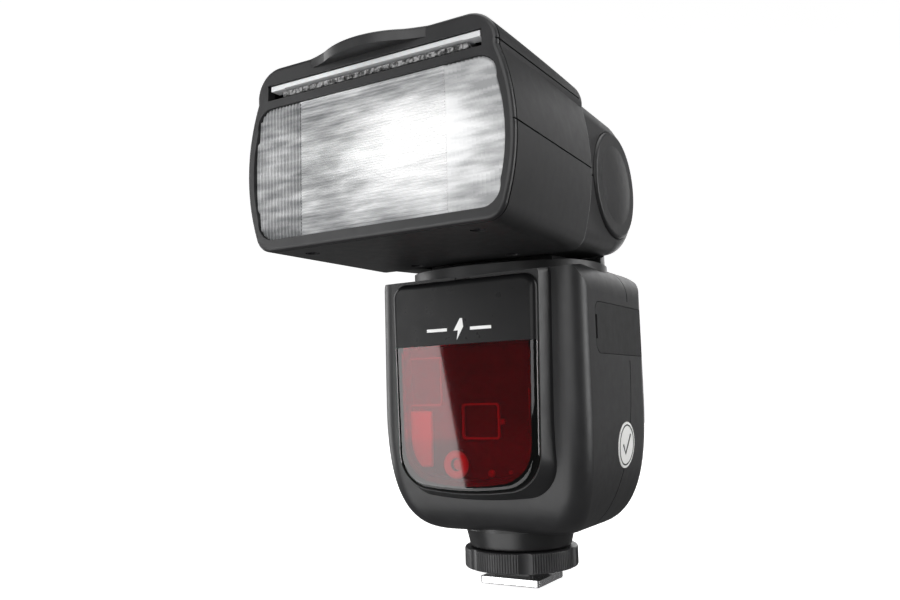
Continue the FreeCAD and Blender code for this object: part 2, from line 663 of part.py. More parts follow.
def head_outline(inset, y, low_scale, top_scale, drop):
    """Front outline of the head: flat base and top, bowed sides, soft corners."""
    a = low_scale
    b = top_scale
    low = HEAD_BOTTOM
    top = HEAD_TOP - drop
    outline = wire(
        V(-30.9 * a, y, low), V(30.9 * a, y, low), (V(33.9 * a, y, low + 1.1), V(35.6 * a, y, low + 3.8)),
        (V(HEAD_HALF * a, y, low + 19.9), V(34.7 * b, y, top - 8.5)),
        (V(32.65 * b, y, top - 2.2), V(27.5 * b, y, top)), V(-27.5 * b, y, top),
        (V(-32.65 * b, y, top - 2.2), V(-34.7 * b, y, top - 8.5)),
        (V(-HEAD_HALF * a, y, low + 19.9), V(-35.6 * a, y, low + 3.8)),
        (V(-33.9 * a, y, low + 1.1), V(-30.9 * a, y, low)))
    if inset == 0.0:
        return outline
    return outline.makeOffset2D(-inset)


def head_box(inset, front, back):
    """Lamp box of the head between two planes across Y, drawn in by inset."""
    def station(y):
        t = (y - HEAD_FRONT) / (HEAD_BACK - HEAD_FRONT)
        return head_outline(inset, y, 1.0 - 0.055 * t, 1.0 - 0.01 * t, t * t)
    middle = (front + back) / 2
    return Part.makeLoft([station(front), station(middle), station(back)], True, False)


def ear_block():
    """Rear of the head that wraps round the tilt axis."""
    r = EAR_R
    outline = wire(
        V(-EAR_OUTER, HEAD_BACK - 8, 90.9), V(-EAR_OUTER, AXIS_Y, TILT_Z - r),
        (V(-EAR_OUTER, AXIS_Y + r, TILT_Z), V(-EAR_OUTER, AXIS_Y, TILT_Z + r)),
        V(-EAR_OUTER, HEAD_BACK - 8, TILT_Z + r + 1.0))
    block = slab(outline, V(2 * EAR_OUTER, 0, 0))
    return block.makeFillet(EAR_EDGE, edges_at(block, "X", -EAR_OUTER) + edges_at(block, "X", EAR_OUTER))


def lens_outline(offset, y):
    outline = wire(
        V(-29.2, y, 93.5), V(29.2, y, 93.5), (V(33.2, y, 95.0), V(34.5, y, 98.9)),
        (V(36.0, y, 109.2), V(34.4, y, 121.8)), (V(33.2, y, 125.9), V(29.4, y, 127.4)),
        V(-29.4, y, 127.4), (V(-33.2, y, 125.9), V(-34.4, y, 121.8)),
        (V(-36.0, y, 109.2), V(-34.5, y, 98.9)), (V(-33.2, y, 95.0), V(-29.2, y, 93.5)))
    if offset == 0.0:
        return outline
    return outline.makeOffset2D(offset)


def tilt_hollow():
    """Space that the turret's drum and stem need between the ears."""
    drum = rod_x(DRUM_R + 0.3, -EAR_INNER, EAR_INNER, AXIS_Y, TILT_Z)
    sweep = box(-EAR_INNER, EAR_INNER, AXIS_Y, AXIS_Y + 40, 60, TILT_Z + 9.0)
    under = box(-EAR_INNER, EAR_INNER, AXIS_Y - DRUM_R - 0.3, AXIS_Y + 40, 60, TILT_Z)
    return drum.fuse(sweep).fuse(under)


def head_seams():
    """Grooves at the bezel, at the joint of the two shells and along the top cap."""
    core = head_box(0.5, HEAD_FRONT - 1.0, HEAD_BACK + 1.0)
    ears = box(0.5 - EAR_OUTER, EAR_OUTER - 0.5, HEAD_BACK - 8, AXIS_Y + EAR_R - 0.5, 60, 160)
    bezel = box(-60, 60, -71.4, -70.9, 60, 160)
    middle = box(-60, 60, HEAD_FRONT - 1, 60, HEAD_SPLIT - 0.2, HEAD_SPLIT + 0.2)
    cap = box(-60, 60, HEAD_FRONT - 1, CAP_BACK + 0.2, CAP_SPLIT - 0.2, CAP_SPLIT + 0.2)
    return [bezel.cut(core), middle.cut(core).cut(ears), cap.cut(core)]


@functools.lru_cache(maxsize=None)
def head_shell():
    """Hollow head casing before it is split into its shells and top cap."""
    outer = head_box(0.0, HEAD_FRONT, HEAD_BACK)
    outer = outer.makeFillet(1.0, edges_at(outer, "Y", HEAD_FRONT))
    outer = outer.makeFillet(1.2, edges_at(outer, "Y", HEAD_BACK))
    outer = outer.fuse(ear_block())
    for seam in head_seams():
        outer = outer.cut(seam)
    shell = outer.cut(head_box(WALL, HEAD_FRONT + 2.6, HEAD_BACK - WALL))
    shell = shell.cut(box(-29.0, 29.0, HEAD_BACK - 3.0, AXIS_Y - DRUM_R - 0.5,
                          HEAD_BOTTOM + 3.0, TILT_Z + 18.0))
    shell = shell.cut(slab(lens_outline(0.0, HEAD_FRONT - 1), V(0, 6, 0)))
    shell = shell.cut(tilt_hollow())
    for side in (-1, 1):
        pocket = rod_x(13.5, EAR_INNER + 5.0, EAR_OUTER + 1, AXIS_Y, TILT_Z)
        pocket = pocket.fuse(rod_x(8.0, EAR_INNER - 1, EAR_OUTER + 1, AXIS_Y, TILT_Z))
        pocket = pocket.fuse(rod_x(CAP_R + 0.2, EAR_OUTER - 1.2, EAR_OUTER + 1, AXIS_Y, TILT_Z))
        shell = shell.cut(pocket if side > 0 else mirror_x(pocket))
    shell = shell.cut(box(-SLOT_HALF, SLOT_HALF, HEAD_FRONT - 2, HEAD_FRONT + 6, SLOT_LOW, SLOT_HIGH))
    return shell


def cap_region():
    return box(-60, 60, HEAD_FRONT - 20, CAP_BACK, CAP_SPLIT, 160)


def head_lower_shell():
    shell = head_shell().common(box(-60, 60, -100, 60, 60, HEAD_SPLIT))
    for x, y in HEAD_SCREWS:
        shell = shell.fuse(rod_z(2.4, HEAD_BOTTOM + 0.5, 95.0, x, y))
        shell = shell.cut(rod_z(1.9, 80, HEAD_BOTTOM + 1.2, x, y)).cut(rod_z(0.9, 80, 100, x, y))
    return shell


def head_upper_shell():
    shell = head_shell().common(box(-60, 60, -100, 60, HEAD_SPLIT, 160)).cut(cap_region())
    floor = head_box(WALL - 0.2, HEAD_FRONT + 3.0, HEAD_BACK).common(box(-60, 60, -100, 0, 128.7, 129.7))
    bay = box(-SLOT_HALF, SLOT_HALF, HEAD_FRONT + 3, HEAD_FRONT + PANEL_LENGTH + 1.2, 129.8, 133.6)
    return shell.fuse(floor).cut(bay).removeSplitter()


def cap_lip():
    """Finger lip that swells forward at the middle of the top cap."""
    y = HEAD_FRONT + 0.6
    z = HEAD_TOP - 2.8
    outline = wire(
        V(-20, y + 4, z), V(-20, y, z), (V(-15.5, y - 0.9, z), V(-11.5, y - 2.2, z)),
        (V(0, y - 5.2, z), V(11.5, y - 2.2, z)), (V(15.5, y - 0.9, z), V(20, y, z)), V(20, y + 4, z))
    lip = slab(outline, V(0, 0, 2.8))
    return lip.makeFillet(0.8, [e for e in edges_at(lip, "Z", HEAD_TOP) if e.BoundBox.YMin < y - 0.5])


def head_top_cap():
    cap = head_shell().common(cap_region())
    return cap.fuse(cap_lip()).removeSplitter()


def head_screws():
    seat = HEAD_BOTTOM + 1.2
    return joined([screw(0.85, 4.0, 1.7, 0.9, V(x, y, seat), V(0, 0, -1)) for x, y in HEAD_SCREWS])


def fresnel_lens():
    plate = slab(lens_outline(-0.1, HEAD_FRONT + 0.6), V(0, 3.2, 0))
    flange = slab(lens_outline(0.7, HEAD_FRONT + 2.6), V(0, 1.2, 0)).common(box(-28, 28, -100, 0, 80, 140))
    lens = plate.fuse(flange).removeSplitter()
    grooves = []
    pitch = 1.2
    for side in (-1, 1):
        for k in range(11):
            x = side * (21.5 + pitch * k)
            ridge = Part.makePolygon([V(x - 0.5, HEAD_FRONT + 4.0, 90), V(x + 0.5, HEAD_FRONT + 4.0, 90),
                                      V(x, HEAD_FRONT + 3.1, 90), V(x - 0.5, HEAD_FRONT + 4.0, 90)])
            grooves.append(slab(ridge, V(0, 0, 42)))
    return lens.cut(joined(grooves))


def ear_caps():
    face = EAR_OUTER + 0.9
    disc = rod_x(CAP_R, EAR_OUTER - 1.18, face, AXIS_Y, TILT_Z)
    disc = disc.makeFillet(1.0, edges_at(disc, "X", face))
    crown = Part.makeSphere(90.0, V(face + 0.7 - 90.0, AXIS_Y, TILT_Z))
    crown = crown.common(rod_x(13.0, EAR_OUTER, EAR_OUTER + 3, AXIS_Y, TILT_Z))
    plug = rod_x(13.4, EAR_OUTER - 2.8, EAR_OUTER - 1.0, AXIS_Y, TILT_Z)
    plug = plug.cut(rod_x(12.0, 0, EAR_OUTER - 1.18, AXIS_Y, TILT_Z))
    cap = disc.fuse(crown).fuse(plug).removeSplitter()
    return joined([cap, mirror_x(cap)])


# --- zoom mechanism and panels --------------------------------------------------------
TUBE_Y = -50.0
TUBE_Z = 110.0
SCREW_X, SCREW_Z = -28.5, 98.5


def reflector():
    """Polished trough, parabolic in section, open to the front."""
    def bowl(gap):
        depth = 17.0
        back = TUBE_Y + 4.0 + gap
        half = 12.5 + gap
        return slab(wire(V(-22.0 - gap, back - depth, TUBE_Z - half),
                         (V(-22.0 - gap, back, TUBE_Z), V(-22.0 - gap, back - depth, TUBE_Z + half))),
                    V(44.0 + 2 * gap, 0, 0))
    trough = bowl(0.8).cut(bowl(0.0)).cut(box(-40, 40, -100, TUBE_Y - 12.9, 80, 130))
    return trough.cut(rod_x(2.4, -40, 40, TUBE_Y, TUBE_Z))


def flash_tube():
    glass = rod_x(2.0, -23.5, 23.5, TUBE_Y, TUBE_Z)
    return glass.makeFillet(0.8, edges_at(glass, "X", -23.5) + edges_at(glass, "X", 23.5))


def zoom_carriage():
    plate = box(-31.0, 31.0, TUBE_Y + 5.2, TUBE_Y + 7.2, TUBE_Z - 14.0, TUBE_Z + 13.0)
    arms = box(-24.6, -23.5, TUBE_Y - 3.0, TUBE_Y + 5.3, TUBE_Z - 4.0, TUBE_Z + 4.0)
    plate = plate.fuse(arms).fuse(mirror_x(arms))
    for x in (SCREW_X, -SCREW_X):
        plate = plate.fuse(rod_y(3.0, TUBE_Y + 1.2, TUBE_Y + 7.2, x, SCREW_Z))
        plate = plate.cut(rod_y(1.5 + FIT, -100, 0, x, SCREW_Z))
    for x0, x1 in ((-18, 18), (19, 22)):
        plate = plate.cut(box(x0, x1, -60, 0, TUBE_Z - 8, TUBE_Z + 8))
    return plate.removeSplitter()


def lead_screw():
    return rod_y(1.5, -66.0, -28.7, SCREW_X, SCREW_Z)


def guide_rod():
    return rod_y(1.5, -68.6, -25.05, -SCREW_X, SCREW_Z)


def zoom_motor():
    can = rod_y(4.0, -28.6, -25.05, SCREW_X + 1.0, SCREW_Z)
    return can.makeFillet(0.5, edges_at(can, "Y", -28.6))


def wide_panel():
    sheet = box(-26.0, 26.0, HEAD_FRONT + 0.6, HEAD_FRONT + PANEL_LENGTH, 132.1, 133.2)
    for side in (-1, 1):
        tab = box(26.0, 30.4, HEAD_FRONT + 0.6, HEAD_FRONT + 3.6, 131.9, 133.2)
        sheet = sheet.fuse(tab if side > 0 else mirror_x(tab))
    return sheet.removeSplitter()


def catchlight_panel():
    sheet = box(-27.0, 27.0, HEAD_FRONT + 1.2, HEAD_FRONT + PANEL_LENGTH, 130.2, 131.4)
    ribs = []
    for k in range(24):
        x = -25.3 + 2.2 * k
        ribs.append(box(x - 0.35, x + 0.35, HEAD_FRONT + 0.9, HEAD_FRONT + 1.3, 130.3, 131.3))
    return sheet.fuse(joined(ribs)).removeSplitter()


PARTS = {
    "shoe_plate": shoe_plate,
    "shoe_block": shoe_block,
    "contact_pins": contact_pins,
    "lock_pin": lock_pin,
    "clamp_washer": clamp_washer,
    "lock_ring": lock_ring,
    "foot_neck": foot_neck,
    "foot_screws": foot_screws,
    "front_case": front_case,
    "rear_case": rear_case,
    "front_panel": front_panel,
    "red_window": red_window,
    "assist_holder": assist_holder,
    "assist_lens": assist_lens,
    "assist_board": assist_board,
    "battery": battery,
    "battery_latch": battery_latch,
    "battery_contacts": battery_contacts,
    "port_door": port_door,
    "sync_socket": lambda: socket("sync_socket", 1.25),
    "usb_socket": lambda: socket("usb_socket", 0),
    "main_board": main_board,
    "main_capacitor": main_capacitor,
    "control_panel": control_panel,
    "display_window": display_window,
    "display_module": display_module,
    "select_dial": select_dial,
    "set_button": set_button,
    "power_switch": power_switch,
    "button_board": button_board,
    "round_label": round_label,
    "case_screws": case_screws,
    "pan_bearing": pan_bearing,
    "turret": turret,
    "pan_clip": pan_clip,
    "tilt_axle": tilt_axle,
    "tilt_bushes": tilt_bushes,
    "friction_washers": friction_washers,
    "axle_nuts": axle_nuts,
    "head_lower_shell": head_lower_shell,
    "head_upper_shell": head_upper_shell,
    "head_top_cap": head_top_cap,
    "head_screws": head_screws,
    "fresnel_lens": fresnel_lens,
    "ear_caps": ear_caps,
    "reflector": reflector,
    "flash_tube": flash_tube,
    "zoom_carriage": zoom_carriage,
    "lead_screw": lead_screw,
    "guide_rod": guide_rod,
    "zoom_motor": zoom_motor,
    "wide_panel": wide_panel,
    "catchlight_panel": catchlight_panel,
}
for number in range(4):
    PARTS["menu_button_%d" % (number + 1)] = lambda n=number: menu_button(n)
for key_name in SIDE_BUTTONS:
    PARTS[key_name] = lambda n=key_name: side_button(n)

os.makedirs("parts", exist_ok=True)
for node, build in PARTS.items():
    shape = build()
    shape.exportStep("parts/%s.step" % node)
    print(node, len(shape.Solids), "solids,", round(shape.Volume, 1), "mm3, valid", shape.isValid())
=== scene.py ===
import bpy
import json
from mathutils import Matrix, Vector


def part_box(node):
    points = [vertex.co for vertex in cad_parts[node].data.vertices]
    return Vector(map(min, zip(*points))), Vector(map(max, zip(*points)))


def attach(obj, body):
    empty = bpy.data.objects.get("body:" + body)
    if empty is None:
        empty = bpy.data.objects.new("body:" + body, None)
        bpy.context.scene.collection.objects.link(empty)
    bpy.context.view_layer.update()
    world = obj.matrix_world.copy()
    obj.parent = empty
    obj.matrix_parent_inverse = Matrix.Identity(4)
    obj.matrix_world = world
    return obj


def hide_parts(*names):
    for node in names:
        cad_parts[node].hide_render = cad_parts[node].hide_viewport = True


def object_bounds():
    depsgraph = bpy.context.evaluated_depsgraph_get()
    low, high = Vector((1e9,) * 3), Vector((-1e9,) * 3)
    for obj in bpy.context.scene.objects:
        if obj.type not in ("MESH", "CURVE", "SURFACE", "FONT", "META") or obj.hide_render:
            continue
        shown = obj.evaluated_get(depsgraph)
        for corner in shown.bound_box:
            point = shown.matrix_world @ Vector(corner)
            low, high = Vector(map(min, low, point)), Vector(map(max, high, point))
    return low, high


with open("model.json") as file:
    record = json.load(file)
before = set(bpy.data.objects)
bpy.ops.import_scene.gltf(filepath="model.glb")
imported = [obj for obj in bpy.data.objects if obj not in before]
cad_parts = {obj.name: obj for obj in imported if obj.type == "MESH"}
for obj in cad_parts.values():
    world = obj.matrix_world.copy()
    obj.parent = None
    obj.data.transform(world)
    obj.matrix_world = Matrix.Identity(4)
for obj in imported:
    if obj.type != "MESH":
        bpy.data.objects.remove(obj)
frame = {"nodes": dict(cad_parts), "record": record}
CAD_BOUNDS = [list(corner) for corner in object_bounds()]

import json
import math

import bmesh
import bpy
from mathutils import Matrix, Vector
from mathutils.bvhtree import BVHTree

NODES = frame["nodes"]
NODE_BOX = {name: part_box(name) for name in NODES}
MM = 0.001

# Driving sizes of the added pieces, in millimetres
LENS_CENTRE_HALF = 20.9     # half width of the lens zone with level grooves
LENS_LOW = 93.6
LENS_TOP = 127.3
LENS_REACH = 35.8           # half width of the whole lens
LENS_THICKNESS = 1.6
RIB_PITCH = 1.08            # upright ribs in the side zones
RIB_DEPTH = 0.5
RIB_CREST = 0.86            # share of the pitch that rises
GROOVE_STEP = 0.55          # level grooves: step at mid height, and what it gains towards the edges
GROOVE_STEP_GAIN = 0.35
GROOVE_DEPTH = 0.55 * RIB_DEPTH
BOARD_FACE = -26.65         # plane behind the red window that its small parts stand on
LENS_PAINTED_HIGHLIGHT = (11.0, -72.0, 110.0)        # centre of the painted highlight on the lens colour
LENS_PAINTED_HIGHLIGHT_REACH = (25.0, 60.0, 16.0)
GRAIN_HEIGHT = 0.02         # depth of the moulded or brushed grain
NOISE_LOW = 0.3             # span of noise values that ramps and ranges are spread over
NOISE_HIGH = 0.7


# --- material building blocks ---------------------------------------------------------
MATERIALS = {}


def grey(value):
    return (value, value, value)


class Shader:
    """A node material under construction. Its sizes are in millimetres of object space."""

    def __init__(self, name):
        material = bpy.data.materials.new(name)
        material.use_nodes = True
        MATERIALS[name] = material
        self.tree = material.node_tree
        self.bsdf = self.tree.nodes["Principled BSDF"]
        self.coords = self.add("ShaderNodeTexCoord").outputs["Object"]

    def add(self, kind, **settings):
        node = self.tree.nodes.new(kind)
        for key, value in settings.items():
            setattr(node, key, value)
        return node

    def link(self, output, socket):
        self.tree.links.new(output, socket)

    def set(self, **values):
        for key, value in values.items():
            self.bsdf.inputs[key.replace("_", " ")].default_value = value

    def scaled(self, scale):
        """Object coordinates stretched along each axis."""
        node = self.add("ShaderNodeMapping")
        node.inputs["Scale"].default_value = scale
        self.link(self.coords, node.inputs["Vector"])
        return node.outputs["Vector"]

    def noise(self, size_mm, detail=3.0, stretch=(1, 1, 1)):
        """Cloudy noise with features of about this size."""
        scale = [s / (size_mm * MM) for s in stretch]
        node = self.add("ShaderNodeTexNoise")
        node.inputs["Scale"].default_value = 1.0
        node.inputs["Detail"].default_value = detail
        self.link(self.scaled(scale), node.inputs["Vector"])
        return node.outputs["Fac"]

    def ramp(self, value, stops):
        """Colour ramp through (place, colour) stops."""
        node = self.add("ShaderNodeValToRGB")
        ramp = node.color_ramp
        while len(ramp.elements) < len(stops):
            ramp.elements.new(0.5)
        for element, (place, colour) in zip(ramp.elements, stops):
            element.position = place
            element.color = colour if len(colour) == 4 else (*colour, 1.0)
        self.link(value, node.inputs["Fac"])
        return node.outputs["Color"]

    def spread(self, value, low, high):
        """Noise value mapped to low..high."""
        node = self.add("ShaderNodeMapRange")
        node.inputs["From Min"].default_value = NOISE_LOW
        node.inputs["From Max"].default_value = NOISE_HIGH
        node.inputs["To Min"].default_value = low
        node.inputs["To Max"].default_value = high
        self.link(value, node.inputs["Value"])
        return node.outputs["Result"]

    def mix(self, weight_a, a, weight_b, b):
        """Weighted sum of two values."""
        part = self.add("ShaderNodeMath", operation="MULTIPLY")
        self.link(b, part.inputs[0])
        part.inputs[1].default_value = weight_b
        total = self.add("ShaderNodeMath", operation="MULTIPLY_ADD")
        self.link(a, total.inputs[0])
        total.inputs[1].default_value = weight_a
        self.link(part.outputs["Value"], total.inputs[2])
        return total.outputs["Value"]

    def beyond(self, reach_mm):
        """1 where the object's x is further from the middle than the reach, and 0 within it."""
        parts = self.add("ShaderNodeSeparateXYZ")
        self.link(self.coords, parts.inputs["Vector"])
        size = self.add("ShaderNodeMath", operation="ABSOLUTE")
        self.link(parts.outputs["X"], size.inputs[0])
        over = self.add("ShaderNodeMath", operation="GREATER_THAN")
        self.link(size.outputs["Value"], over.inputs[0])
        over.inputs[1].default_value = reach_mm * MM
        return over.outputs["Value"]

    def glow(self, centre_mm, radii_mm):
        """Soft blob that falls from 1 at its centre to 0 at its radii."""
        place = self.add("ShaderNodeMapping")
        for axis in range(3):
            place.inputs["Scale"].default_value[axis] = 1.0 / (radii_mm[axis] * MM)
            place.inputs["Location"].default_value[axis] = -centre_mm[axis] / radii_mm[axis]
        self.link(self.coords, place.inputs["Vector"])
        blob = self.add("ShaderNodeTexGradient", gradient_type="SPHERICAL")
        self.link(place.outputs["Vector"], blob.inputs["Vector"])
        return blob.outputs["Fac"]

    def bump(self, height, strength, distance_mm):
        node = self.add("ShaderNodeBump")
        node.inputs["Strength"].default_value = strength
        node.inputs["Distance"].default_value = distance_mm * MM
        self.link(height, node.inputs["Height"])
        return node.outputs["Normal"]


def moulded(name, colour, roughness, grain=0.25, strength=0.25, speck=0.15, specular=0.5):
    """Injection-moulded plastic: fine spark-eroded grain, faint colour and gloss variation."""
    s = Shader(name)
    s.set(Specular_IOR_Level=specular)
    low = [c * (1.0 - speck) for c in colour]
    high = [c * (1.0 + speck) for c in colour]
    tint = s.ramp(s.noise(9.0, 4.0), [(NOISE_LOW, low), (NOISE_HIGH, high)])
    gloss = s.spread(s.noise(3.0, 5.0), roughness - 0.03, roughness + 0.04)
    s.link(tint, s.bsdf.inputs["Base Color"])
    s.link(gloss, s.bsdf.inputs["Roughness"])
    s.link(s.bump(s.noise(grain, 2.0), strength, GRAIN_HEIGHT), s.bsdf.inputs["Normal"])


def metal(name, colour, roughness, stretch=(1, 1, 1), strength=0.1):
    """Bare metal, brushed along the axes with the smallest stretch."""
    s = Shader(name)
    s.set(Metallic=1.0)
    low = [c * 0.88 for c in colour]
    tint = s.ramp(s.noise(2.0, 4.0, stretch), [(NOISE_LOW, low), (NOISE_HIGH, colour)])
    gloss = s.spread(s.noise(0.6, 4.0, stretch), roughness * 0.8, roughness * 1.3)
    s.link(tint, s.bsdf.inputs["Base Color"])
    s.link(gloss, s.bsdf.inputs["Roughness"])
    s.link(s.bump(s.noise(0.3, 3.0, stretch), strength, GRAIN_HEIGHT), s.bsdf.inputs["Normal"])


def case_materials():
    """Dark moulded parts: each has its own grain, gloss and depth of black."""
    moulded("case_plastic", (0.016, 0.016, 0.0168), 0.39, grain=0.22, strength=0.3, speck=0.12,
            specular=0.45)
    moulded("black_plastic", (0.012, 0.012, 0.0125), 0.33, grain=0.25, strength=0.2, speck=0.12,
            specular=0.45)
    moulded("ring_plastic", (0.018, 0.018, 0.019), 0.34, grain=0.3, strength=0.2, speck=0.12)
    moulded("cap_plastic", (0.016, 0.016, 0.0168), 0.42, grain=0.2, strength=0.3, speck=0.12,
            specular=0.4)
    moulded("satin_panel", (0.009, 0.009, 0.0095), 0.30, grain=0.5, strength=0.04, speck=0.1,
            specular=0.2)
    moulded("inner_dark", (0.02, 0.02, 0.02), 0.6, grain=0.4, strength=0.3)
    moulded("battery_plastic", (0.017, 0.017, 0.018), 0.45, grain=0.22, strength=0.35)
    moulded("button_plastic", (0.032, 0.032, 0.034), 0.4, grain=0.25, strength=0.2)
    moulded("panel_plastic", (0.022, 0.022, 0.024), 0.33, grain=0.2, strength=0.15)
    moulded("door_rubber", (0.012, 0.012, 0.0125), 0.58, grain=0.3, strength=0.4, speck=0.1,
            specular=0.35)


def small_part_materials():
    """Light plastics, paper, boards and inks."""
    moulded("slip_plastic", (0.72, 0.71, 0.67), 0.4)
    moulded("white_plastic", (0.82, 0.82, 0.80), 0.4)
    moulded("label_paper", (0.97, 0.97, 0.95), 0.32, grain=0.5, strength=0.1, speck=0.02)
    moulded("display_dark", (0.10, 0.115, 0.09), 0.3)
    moulded("circuit_board", (0.012, 0.07, 0.03), 0.35)
    moulded("capacitor_sleeve", (0.03, 0.03, 0.05), 0.3)
    moulded("white_ink", (0.86, 0.86, 0.85), 0.4, grain=0.3, strength=0.05, speck=0.02)
    moulded("grey_ink", (0.55, 0.55, 0.55), 0.45, grain=0.3, strength=0.05, speck=0.02)
    moulded("dark_ink", (0.02, 0.02, 0.02), 0.45, grain=0.3, strength=0.05)
    moulded("lamp_white", (0.85, 0.80, 0.80), 0.3, grain=0.3, strength=0.1, speck=0.05)
    moulded("lamp_pink", (0.42, 0.30, 0.30), 0.3, grain=0.3, strength=0.1, speck=0.05)


def metals():
    metal("dark_screws", (0.10, 0.10, 0.11), 0.35)
    metal("plated_steel", (0.80, 0.80, 0.81), 0.22, stretch=(1, 12, 1), strength=0.15)
    metal("bright_steel", (0.62, 0.62, 0.64), 0.28, stretch=(6, 1, 1))
    metal("gold_contacts", (0.78, 0.58, 0.26), 0.25)
    metal("socket_metal", (0.6, 0.6, 0.62), 0.3)
    metal("polished_reflector", (0.93, 0.93, 0.94), 0.18, strength=0.3)


def clear(name, colour, roughness, **settings):
    """Even glassy plastic or glass."""
    Shader(name).set(Base_Color=(*colour, 1), Roughness=roughness, **settings)


def clear_materials():
    clear("red_window", (0.52, 0.006, 0.018), 0.03, IOR=1.49, Transmission_Weight=1.0)
    clear("assist_lens", (0.8, 0.01, 0.01), 0.1)
    clear("display_glass", (0.02, 0.022, 0.02), 0.06)
    clear("panel_edge", (0.92, 0.93, 0.94), 0.12, IOR=1.49, Transmission_Weight=0.35)
    clear("fresnel_clear", (0.9, 0.92, 0.93), 0.08, IOR=1.45, Transmission_Weight=0.8)
    clear("tube_glass", (0.9, 0.9, 0.92), 0.03, Transmission_Weight=1.0)


def catchlight_material():
    """Dotted edge of the white card in its slot, coloured dark grey as painted shade of the slot."""
    s = Shader("catchlight")
    # painted shade: the white card is coloured dark grey for the shade inside its slot, with fine dots
    s.link(s.ramp(s.noise(0.9, 2.0), [(0.42, grey(0.03)), (0.58, grey(0.30))]),
           s.bsdf.inputs["Base Color"])
    s.set(Roughness=0.4)


def lens_material():
    """Lens face: painted light, cloudy streaks of the lit reflector behind it painted into the colour,
    with a painted highlight right of the middle and the ribbed side zones a little darker.
    """
    s = Shader("lens_face")
    broad = s.noise(24.0, 3.0, (0.55, 1, 1.5))
    streak = s.noise(6.0, 6.0, (0.5, 1, 2.8))
    tone = s.mix(0.5, streak, 0.5, broad)
    tone = s.mix(1.0, tone, -0.04, s.beyond(LENS_CENTRE_HALF))
    # painted highlight: a bright blob added to the tone right of the middle
    tone = s.mix(1.0, tone, 0.38, s.glow(LENS_PAINTED_HIGHLIGHT, LENS_PAINTED_HIGHLIGHT_REACH))
    s.link(s.ramp(tone, [(0.40, (0.20, 0.205, 0.21)), (0.50, (0.40, 0.405, 0.41)),
                         (0.60, (0.66, 0.665, 0.67)), (0.78, (0.93, 0.93, 0.93))]),
           s.bsdf.inputs["Base Color"])
    s.set(Roughness=0.16, IOR=1.49, Coat_Weight=0.5, Coat_Roughness=0.04)


case_materials()
small_part_materials()
metals()
clear_materials()
catchlight_material()
lens_material()

# CAD nodes that look different from the rest of their slot
FINISH = {"front_panel": "satin_panel", "wide_panel": "panel_edge", "catchlight_panel": "catchlight"}


def dress_cad_nodes():
    slots = {part["node"]: part["material_slot"] for part in frame["record"]["subparts"]}
    for name, node in NODES.items():
        node.data.materials.clear()
        node.data.materials.append(MATERIALS[FINISH.get(name, slots[name])])


dress_cad_nodes()


# --- mesh helpers ---------------------------------------------------------------------
def new_piece(name, block, body, material, smooth=True, replaces=None):
    """Mesh object from a block of points in millimetres and faces, riding on a body."""
    verts_mm, faces = block
    mesh = bpy.data.meshes.new(name)
    mesh.from_pydata([tuple(c * MM for c in v) for v in verts_mm], [], faces)
    mesh.validate()
    piece = bpy.data.objects.new(name, mesh)
    bpy.context.scene.collection.objects.link(piece)
    edit = bmesh.new()
    edit.from_mesh(mesh)
    bmesh.ops.remove_doubles(edit, verts=edit.verts, dist=1e-7)
    bmesh.ops.recalc_face_normals(edit, faces=edit.faces)
    edit.to_mesh(mesh)
    edit.free()
    for polygon in mesh.polygons:
        polygon.use_smooth = smooth
    mesh.materials.append(MATERIALS[material])
    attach(piece, body)
    if replaces:
        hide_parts(replaces)
    return piece


def grid_block(columns, span, depth_at, back):
    """Closed block: its front is a grid of points (x, depth, z), its back is the plane y = back."""
    rows = max(len(span(x)) for x in columns)
    verts = []
    for x in columns:
        for z in span(x):
            verts.append((x, depth_at(x, z), z))
    count = len(verts)
    for x in columns:
        for z in span(x):
            verts.append((x, back, z))
    faces = []
    wide = len(columns)
    for i in range(wide - 1):
        for j in range(rows - 1):
            a = i * rows + j
            b = a + rows
            faces.append((a, b, b + 1, a + 1))
            faces.append((count + a, count + a + 1, count + b + 1, count + b))
    rim = [i * rows for i in range(wide)] + [(wide - 1) * rows + j for j in range(1, rows)]
    rim += [i * rows + rows - 1 for i in range(wide - 2, -1, -1)] + list(range(rows - 2, 0, -1))
    for k, a in enumerate(rim):
        b = rim[(k + 1) % len(rim)]
        faces.append((a, count + a, count + b, b))
    return verts, faces


# --- lens -----------------------------------------------------------------------------
def circle(a, b, c):
    """Centre and radius of the circle through three points."""
    d = 2 * (a[0] * (b[1] - c[1]) + b[0] * (c[1] - a[1]) + c[0] * (a[1] - b[1]))
    sizes = [p[0] ** 2 + p[1] ** 2 for p in (a, b, c)]
    x = (sizes[0] * (b[1] - c[1]) + sizes[1] * (c[1] - a[1]) + sizes[2] * (a[1] - b[1])) / d
    z = (sizes[0] * (c[0] - b[0]) + sizes[1] * (a[0] - c[0]) + sizes[2] * (b[0] - a[0])) / d
    return x, z, math.hypot(a[0] - x, a[1] - z)


LENS_FLAT = 29.3            # half width of the straight part of the lower and upper edge
LENS_CORNER_LOW = circle((29.2, 93.6), (33.1, 95.1), (34.4, 98.9))
LENS_SIDE = circle((34.4, 98.9), (35.9, 109.2), (34.3, 121.8))
LENS_CORNER_TOP = circle((34.3, 121.8), (33.1, 125.8), (29.4, 127.3))


def lens_limits(x):
    """Lower and upper edge of the lens at x."""
    a = abs(x)
    if a <= LENS_FLAT:
        return LENS_LOW, LENS_TOP
    cx, cz, r = LENS_CORNER_LOW if a < 34.35 else LENS_SIDE
    low = cz - math.sqrt(max(0.0, r * r - (a - cx) ** 2))
    cx, cz, r = LENS_CORNER_TOP if a < 34.25 else LENS_SIDE
    top = cz + math.sqrt(max(0.0, r * r - (a - cx) ** 2))
    return low, top


